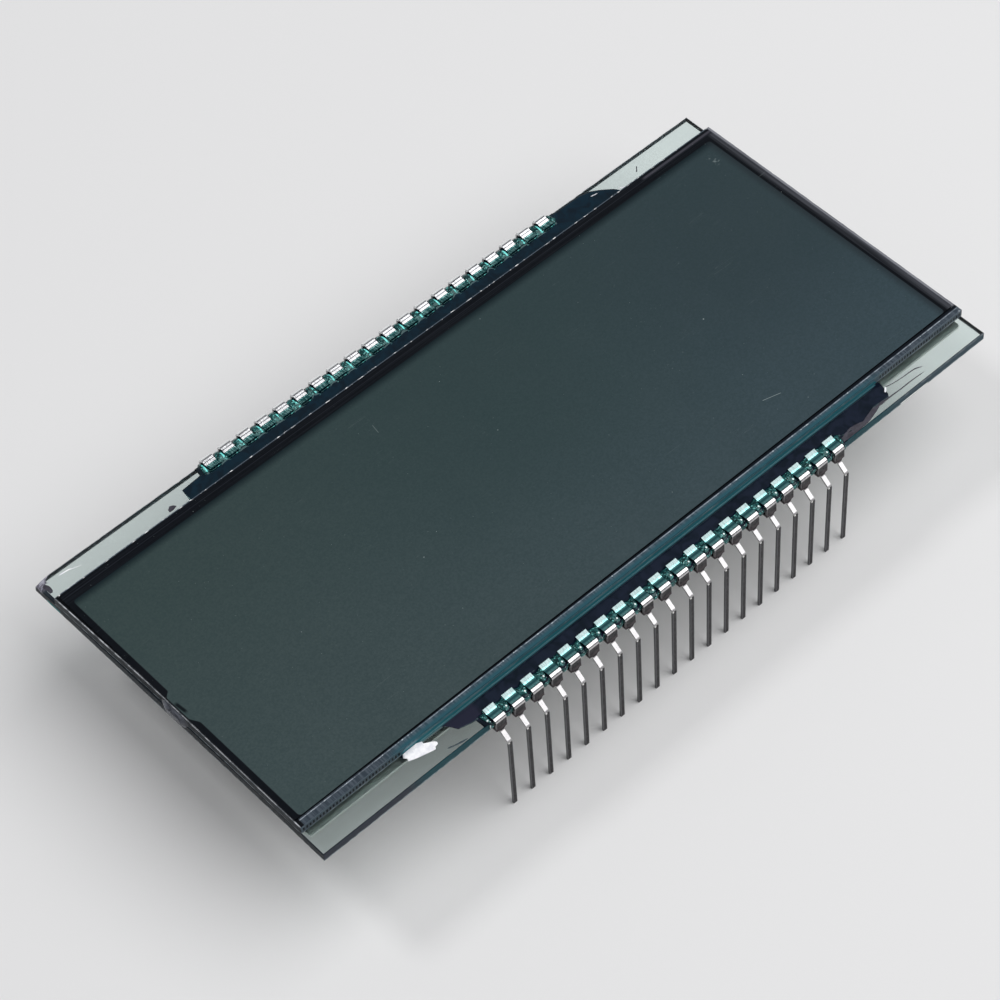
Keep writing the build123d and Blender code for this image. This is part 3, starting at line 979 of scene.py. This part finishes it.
def build_sheet(name, rim_material, near, far, bottom, top, margins, lean_from, chip):
    """A sheet of glass: two clear faces, and a rim with arrises, nicks and, if asked, a chip.

    The margins are how far the rim's top reaches in at the left, right, near and far side. The
    left edge runs out of square, further out towards the far side.
    """
    arris, chip_reach, outline_step = 0.08, 1.5, 0.42
    left, right, near_margin, far_margin = margins
    loops = [[] for _ in range(6)]
    for x, y in outline_of(near, far, outline_step):
        gap = math.dist((x, y), (-HALF_LENGTH, far))
        broken = chip * smoothstep(gap, chip_reach, 0.0)
        nick = 0.04 * max(noise.noise(Vector((x * 0.9, y * 0.9, top))) - 0.1, 0.0)
        levels = (
            (0.75 * broken, 1.0, top),
            (arris + nick + 0.1 * broken, 0.0, top - 0.3 * broken),
            (nick + 0.06 * broken, 0.0, top - arris - nick - 0.3 * broken),
            (nick * 0.4, 0.0, bottom + 0.03),
            (0.03, 0.0, bottom),
            (arris + 0.04, 0.0, bottom),
        )
        for loop, (inset, margin, z) in zip(loops, levels):
            low_x = -HALF_LENGTH + inset + margin * left
            high_x = HALF_LENGTH - inset - margin * right
            px = min(max(x, low_x), high_x)
            if x < 1 - HALF_LENGTH and margin == 0:
                px -= LEAN * max(y - lean_from, 0.0) / (far - lean_from)
            py = min(max(y, near + inset + margin * near_margin), far - inset - margin * far_margin)
            loop.append((px, py, z))
    count = len(loops[0])
    ring = [point for loop in loops for point in loop]
    faces = []
    for level in range(5):
        for i in range(count):
            j = (i + 1) % count
            a, b = level * count + i, level * count + j
            faces.append((b, a, a + count, b + count))
    edge = add_mesh(name + "_rim", ring, faces, "clear_glass", rim_material, smooth=False)
    clear = loops[0] + loops[5]
    upper = tuple(range(count))
    lower = tuple(reversed(range(count, 2 * count)))
    body = add_mesh(name + "_faces", clear, [upper, lower], "clear_glass", smooth=False)
    return edge, body


rear_sheet = build_sheet(
    "rear_glass",
    rear_rim,
    near=-REAR_EDGE,
    far=REAR_EDGE,
    bottom=REAR_BOTTOM,
    top=LEDGE,
    margins=(0.11, 0.11, 0.11, 0.11),
    lean_from=REAR_LEAN_FROM,
    chip=1.0,
)
front_sheet = build_sheet(
    "front_glass",
    front_rim,
    near=NEAR_FRONT_EDGE,
    far=FAR_FRONT_EDGE,
    bottom=FRONT_BOTTOM,
    top=FRONT_TOP,
    margins=(0.1, 0.49, 0.95, 0.15),
    lean_from=FRONT_LEAN_FROM,
    chip=0.0,
)
for piece in rear_sheet:
    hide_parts("rear_glass")
for piece in front_sheet:
    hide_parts("front_glass")


def catmull_rom(a, b, c, d, t):
    """Value at share t between b and c, on a smooth curve through four values."""
    bend = 2 * a - 5 * b + 4 * c - d
    twist = 3 * b - a - 3 * c + d
    return 0.5 * (2 * b + (c - a) * t + bend * t * t + twist * t**3)


def curve_through(points, steps):
    """Points on a Catmull-Rom curve through the given ones."""
    made = []
    last = len(points) - 1
    for index in range(last):
        before = points[max(index - 1, 0)]
        start, end = points[index], points[index + 1]
        after = points[min(index + 2, last)]
        for step in range(steps):
            fours = zip(before, start, end, after)
            made.append(tuple(catmull_rom(*four, step / steps) for four in fours))
    made.append(points[-1])
    return made


# Outlines of the glue across the ledge: out from the glass edge, and up from the ledge.
BETWEEN_PINS = [
    (-1.80, 0.08),
    (-1.50, 0.10),
    (-1.18, 0.24),
    (-0.80, 0.38),
    (-0.34, 0.36),
    (0.10, 0.16),
    (0.34, -0.16),
    (0.37, -0.62),
    (0.04, -1.00),
]
UNDER_TONGUE = [
    (-1.80, 0.08),
    (-1.66, 0.10),
    (-1.56, 0.20),
    (-1.49, 0.18),
    (-1.30, 0.06),
    (-0.60, 0.006),
    (-0.05, 0.006),
    (0.04, -0.10),
    (0.04, -0.80),
]

# How far out the film reaches: place along the glass, and how far out from its edge.
NEAR_REACH = [
    (-34.2, -3.05),
    (-28.7, -2.95),
    (-28.3, -2.5),
    (-27.9, -1.75),
    (-26.6, -1.4),
    (-25.4, -1.2),
    (25.4, -0.9),
    (28.8, -0.6),
    (30.0, -0.9),
    (31.0, -1.23),
    (33.2, -1.1),
    (33.6, -1.7),
    (33.9, -3.0),
]
FAR_REACH = [
    (-28.9, -3.3),
    (-28.8, -2.0),
    (-28.6, -1.4),
    (-26.2, -1.25),
    (-25.4, -1.0),
    (25.4, -0.35),
    (29.8, -0.42),
    (31.1, -0.75),
    (32.1, -1.35),
    (33.4, -2.35),
    (34.0, -3.2),
]


def interpolate(table, x):
    """Value at x on a line through the table's points."""
    for (x0, v0), (x1, v1) in zip(table, table[1:]):
        if x <= x1:
            return v0 + (v1 - v0) * max(x - x0, 0.0) / (x1 - x0)
    return table[-1][1]


def drop_share(x):
    """How much the glue at x belongs to a drop between two pins, from 0 to 1."""
    half_drop, end_start, end_full, end_flat, end_half = 0.62, 0.64, 0.95, 0.9, 0.55
    nearest = min(max(round((x - FIRST_PIN) / PITCH), 0), PINS - 1)
    away = abs(x - (FIRST_PIN + nearest * PITCH))
    if abs(x) > -FIRST_PIN:
        beyond = max(away - end_flat, 0.0) / end_half
        return smoothstep(away, end_start, end_full) * math.sqrt(max(0.0, 1.0 - beyond**2))
    return math.sqrt(max(0.0, 1.0 - ((PITCH / 2 - away) / half_drop) ** 2))


def glue_outline(x, side, width, ends, drops):
    """Loop of the glue's cross-section at x: the skin on the front glass, then the ledge."""
    lump = drop_share(x)
    gap = int(math.floor((x - FIRST_PIN) / PITCH)) + 1
    big = drops[min(max(gap, 0), PINS)]
    bead = smoothstep(abs(x), 26.0, 25.2)
    left, right = ends
    inward = min(x - left, right - x)
    reach = interpolate(NEAR_REACH if side < 0 else FAR_REACH, x)
    film_reach = max(reach, -width + 0.25)
    ripple = 0.05 * noise.noise(Vector((x * 0.8, side * 4.0, 0.3)))
    shrink = smoothstep(inward, 0.0, 0.9)
    climb = [(0.004, 0.80 + ripple), (0.016, 0.45), (0.026, 0.11), (0.2, 0.07)]
    skin = [(-width + u, z * shrink + 0.02) for u, z in climb]
    for (ub, zb), (up, zp) in zip(BETWEEN_PINS, UNDER_TONGUE):
        swell = 0.09 * noise.noise(Vector((x * 1.1, zb * 3.0, side * 2.0 + ub))) * lump
        ub, zb = ub * (1.0 + (big - 1.0) * 0.4), zb * big + swell
        u = up + (ub - up) * lump
        z = zp + (zb - zp) * lump
        flat_u = min(film_reach, -0.35) + 0.02 * (u + 1.6)
        flat_z = 0.05 * shrink + 0.012 * (1.0 - (u + 1.66) / 2.1)
        skin.append((flat_u + (u - flat_u) * bead, flat_z + (z - flat_z) * bead))
    outline = curve_through(skin, 4)
    last_u = outline[-1][0]
    back = [
        (min(last_u, 0.004), min(outline[-1][1], 0.004)),
        (0.004 if bead > 0.02 else last_u - 0.004, 0.004),
        (-width + 0.002, 0.004),
    ]
    return outline + back


def build_glue(name, side, front_edge, ends, seed):
    """A glue run on one ledge, swept along the glass with a drop between every two pins."""
    chance = random.Random(seed)
    drops = [chance.uniform(0.8, 1.08) for _ in range(PINS + 1)]
    width = REAR_EDGE - abs(front_edge)
    left, right = ends
    fine_step, coarse_step, fine_until = 0.075, 0.3, 26.2
    rows = [left]
    while rows[-1] < right - coarse_step:
        rows.append(rows[-1] + (fine_step if abs(rows[-1]) < fine_until else coarse_step))
    rows.append(right)
    points, faces = [], []
    for x in rows:
        loop = glue_outline(x, side, width, ends, drops)
        count = len(loop)
        points += [(x, side * (REAR_EDGE + u), LEDGE + z) for u, z in loop]
    for row in range(len(rows) - 1):
        for column in range(count):
            a = row * count + column
            b = row * count + (column + 1) % count
            quad = (a, b, b + count, a + count)
            faces.append(quad if side > 0 else quad[::-1])
    start = tuple(range(count))
    end = tuple(range((len(rows) - 1) * count, len(rows) * count))
    faces.append(start[::-1] if side > 0 else start)
    faces.append(end if side > 0 else end[::-1])
    return add_mesh(name, points, faces, "clear_glue")


near_glue = build_glue("near_glue_lumps", -1, NEAR_FRONT_EDGE, (-34.2, 33.9), 3)
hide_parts("near_glue_bead")
far_glue = build_glue("far_glue_lumps", 1, FAR_FRONT_EDGE, (-28.9, 34.0), 5)
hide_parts("far_glue_bead")


def add_smear(name, path, widths, level, material):
    """A thin dried smear along a path on a ledge, raised in the middle."""
    points, faces = [], []
    line = curve_through([(*p, w) for p, w in zip(path, widths)], 5)
    for index, (x, y, w) in enumerate(line):
        after = line[min(index + 1, len(line) - 1)]
        before = line[max(index - 1, 0)]
        run = Vector((after[0] - before[0], after[1] - before[1])).normalized()
        wobble = 1.0 + 0.35 * noise.noise(Vector((x * 2.1, y * 2.1, 1.0)))
        taper = 0.15 + 0.85 * min(1.0, index / 2, (len(line) - 1 - index) / 2)
        for share, lift in ((-1, 0.003), (-0.5, 0.03), (0.5, 0.03), (1, 0.003)):
            offset = share * w * wobble * taper / 2
            points.append((x - run.y * offset, y + run.x * offset, level + lift))
    for index in range(len(line) - 1):
        for lane in range(3):
            a = index * 4 + lane
            faces.append((a, a + 4, a + 5, a + 1))
    return add_mesh(name, points, faces, "clear_glue", material)


def add_flake(name, outline, level, material):
    """A thin curled flake with a ragged outline."""
    count = len(outline)
    centre = Vector((sum(p[0] for p in outline) / count, sum(p[1] for p in outline) / count))
    points, faces = [], []
    shares = (1.0, 0.94, 0.6, 0.25)
    for ring, share in enumerate(shares):
        for x, y in outline:
            px, py = centre.x + (x - centre.x) * share, centre.y + (y - centre.y) * share
            curl = 0.05 * noise.noise(Vector((px * 1.1, py * 1.1, 3.0)))
            points.append((px, py, level + 0.04 + curl + (0.05 if ring else 0.0)))
    for ring in range(len(shares) - 1):
        for i in range(count):
            j = (i + 1) % count
            a, b = ring * count + i, ring * count + j
            faces.append((a, b, b + count, a + count))
    faces.append(tuple(range((len(shares) - 1) * count, len(shares) * count)))
    return add_mesh(name, points, faces, "clear_glue", material, smooth=False)


# Lifted patch by the near left end of the glue, painted white as a painted reflection.
add_flake(
    "near_flake_painted_reflection",
    [
        (-33.86, -19.60),
        (-34.15, -20.0),
        (-33.9, -20.3),
        (-34.0, -20.65),
        (-33.1, -20.95),
        (-31.9, -21.28),
        (-31.1, -21.45),
        (-30.95, -21.18),
        (-30.55, -21.12),
        (-30.42, -20.88),
        (-30.6, -20.62),
        (-31.2, -20.3),
        (-31.55, -20.05),
        (-31.5, -19.8),
        (-32.1, -19.58),
        (-33.3, -19.57),
    ],
    LEDGE + 0.12,
    flake_white_and_sheen,
)
add_smear(
    "near_smear_upper",
    [(34.0, -20.5), (34.3, -20.72), (35.8, -20.95), (37.6, -21.05), (38.3, -21.2), (38.8, -21.45)],
    [0.12, 0.1, 0.1, 0.12, 0.14, 0.1],
    LEDGE,
    smear_mauve,
)
add_smear(
    "near_smear_lower",
    [
        (31.2, -21.9),
        (32.0, -21.88),
        (32.8, -21.92),
        (33.8, -21.95),
        (35.0, -22.0),
        (36.6, -22.0),
        (38.4, -22.1),
    ],
    [0.34, 0.34, 0.22, 0.16, 0.14, 0.12, 0.1],
    LEDGE + 0.06,
    smear_mauve,
)
add_smear(
    "near_tick",
    [(33.35, -21.18), (33.6, -20.95), (33.95, -20.65)],
    [0.14, 0.18, 0.14],
    LEDGE + 0.07,
    flake_white_and_sheen,
)
add_smear(
    "near_end_streak",
    [(-30.2, -22.1), (-29.8, -22.22), (-29.3, -22.36), (-28.7, -22.5), (-27.9, -22.64)],
    [0.1, 0.18, 0.16, 0.2, 0.14],
    LEDGE,
    smear_blue,
)
add_smear(
    "far_streak",
    [(-44.8, 21.97), (-44.2, 21.92), (-43.6, 21.85), (-43.0, 21.62), (-42.2, 21.35)],
    [0.1, 0.16, 0.14, 0.06, 0.04],
    LEDGE,
    flake_white_and_sheen,
)
add_flake(
    "far_corner_crust",
    [
        (-46.86, 22.0),
        (-46.86, 21.3),
        (-46.84, 20.75),
        (-46.55, 20.7),
        (-46.37, 20.9),
        (-46.3, 21.3),
        (-46.32, 21.6),
        (-46.5, 22.05),
    ],
    LEDGE - 0.07,
    smear_mauve,
)
add_flake(
    "far_fleck",
    [(-31.35, 20.25), (-30.85, 20.22), (-30.3, 20.4), (-30.5, 20.75), (-30.9, 20.9), (-31.3, 20.6)],
    LEDGE - 0.05,
    smear_mauve,
)
add_flake(
    "near_smear_patch",
    [
        (25.3, -22.75),
        (25.6, -22.2),
        (26.3, -21.95),
        (27.2, -21.86),
        (28.1, -22.02),
        (28.8, -22.28),
        (29.65, -22.2),
        (30.3, -21.95),
        (31.0, -21.66),
        (31.5, -21.75),
        (31.6, -22.02),
        (30.9, -22.28),
        (30.0, -22.52),
        (29.1, -22.72),
        (28.0, -22.76),
        (26.6, -22.78),
    ],
    LEDGE - 0.02,
    smear_mauve,
)
add_smear(
    "far_tick_inner",
    [(30.7, 21.6), (31.1, 21.52), (31.6, 21.43)],
    [0.12, 0.18, 0.14],
    LEDGE + 0.04,
    flake_white_and_sheen,
)
add_smear(
    "far_tick",
    [(33.75, 20.35), (34.1, 20.2), (34.55, 19.95)],
    [0.1, 0.2, 0.12],
    LEDGE + 0.02,
    flake_white_and_sheen,
)
add_smear(
    "far_mark",
    [(37.0, 20.7), (37.3, 21.0), (37.65, 21.4)],
    [0.2, 0.1, 0.12],
    LEDGE - 0.01,
    smear_mauve,
)


def make_floor():
    """Plain pale floor."""
    material, tree, shader = new_material("pale_floor")
    feed(tree, shader, Base_Color=(0.74, 0.74, 0.74), Roughness=0.9)
    mesh = bpy.data.meshes.new("floor")
    half = 3.0
    corners = [(-half, -half, 0), (half, -half, 0), (half, half, 0), (-half, half, 0)]
    mesh.from_pydata(corners, [], [(0, 1, 2, 3)])
    mesh.materials.append(material)
    floor = bpy.data.objects.new("floor", mesh)
    bpy.context.scene.collection.objects.link(floor)


def make_light(name, direction, distance, size, power):
    """A soft rectangular light that faces the object, its long side across X."""
    data = bpy.data.lights.new(name, "AREA")
    data.shape = "RECTANGLE"
    data.size, data.size_y = size
    data.energy = power
    light = bpy.data.objects.new(name, data)
    bpy.context.scene.collection.objects.link(light)
    back = Vector(direction).normalized()
    side = (Vector((1, 0, 0)) - back * back.x).normalized()
    turn = Matrix((side, back.cross(side), back)).transposed().to_4x4()
    light.matrix_world = Matrix.Translation(back * distance) @ turn


def make_world():
    """Dim even light from all round."""
    world = bpy.data.worlds.new("studio")
    bpy.context.scene.world = world
    world.use_nodes = True
    tree = world.node_tree
    tree.nodes.clear()
    levels = {"Color": (0.27, 0.27, 0.28, 1.0), "Strength": 1.0}
    backdrop = wire(tree, "ShaderNodeBackground", levels)
    output = wire(tree, "ShaderNodeOutputWorld")
    tree.links.new(backdrop.outputs[0], output.inputs[0])


def make_camera():
    """Camera at the photograph's viewing angle."""
    azimuth, elevation = math.radians(VIEW_AZIMUTH), math.radians(VIEW_ELEVATION)
    roll = math.radians(VIEW_ROLL)
    level = math.cos(elevation)
    forward = -Vector((level * math.cos(azimuth), level * math.sin(azimuth), math.sin(elevation)))
    sideways = forward.cross(Vector((0, 0, 1))).normalized()
    upward = sideways.cross(forward)
    right = sideways * math.cos(roll) + upward * math.sin(roll)
    up = upward * math.cos(roll) - sideways * math.sin(roll)
    data = bpy.data.cameras.new("camera")
    data.sensor_width = SENSOR_WIDTH
    data.lens = FOCAL_WIDTHS * SENSOR_WIDTH
    data.clip_start = 0.01
    camera = bpy.data.objects.new("camera", data)
    bpy.context.scene.collection.objects.link(camera)
    stands_at = (up * STANDS_UP + right * STANDS_RIGHT - forward * STANDS_AWAY) * MM
    facing = Matrix((right, up, -forward)).transposed().to_4x4()
    camera.matrix_world = Matrix.Translation(stands_at) @ facing
    bpy.context.scene.camera = camera


make_floor()
make_light("key_softbox", (0.38, -0.36, 0.85), distance=0.8, size=(0.8, 1.0), power=6.6)
make_light("side_softbox", (-0.30, 0.475, 0.82), distance=0.9, size=(0.17, 0.17), power=1.5)
make_world()
make_camera()
bpy.context.scene.view_settings.view_transform = "Standard"
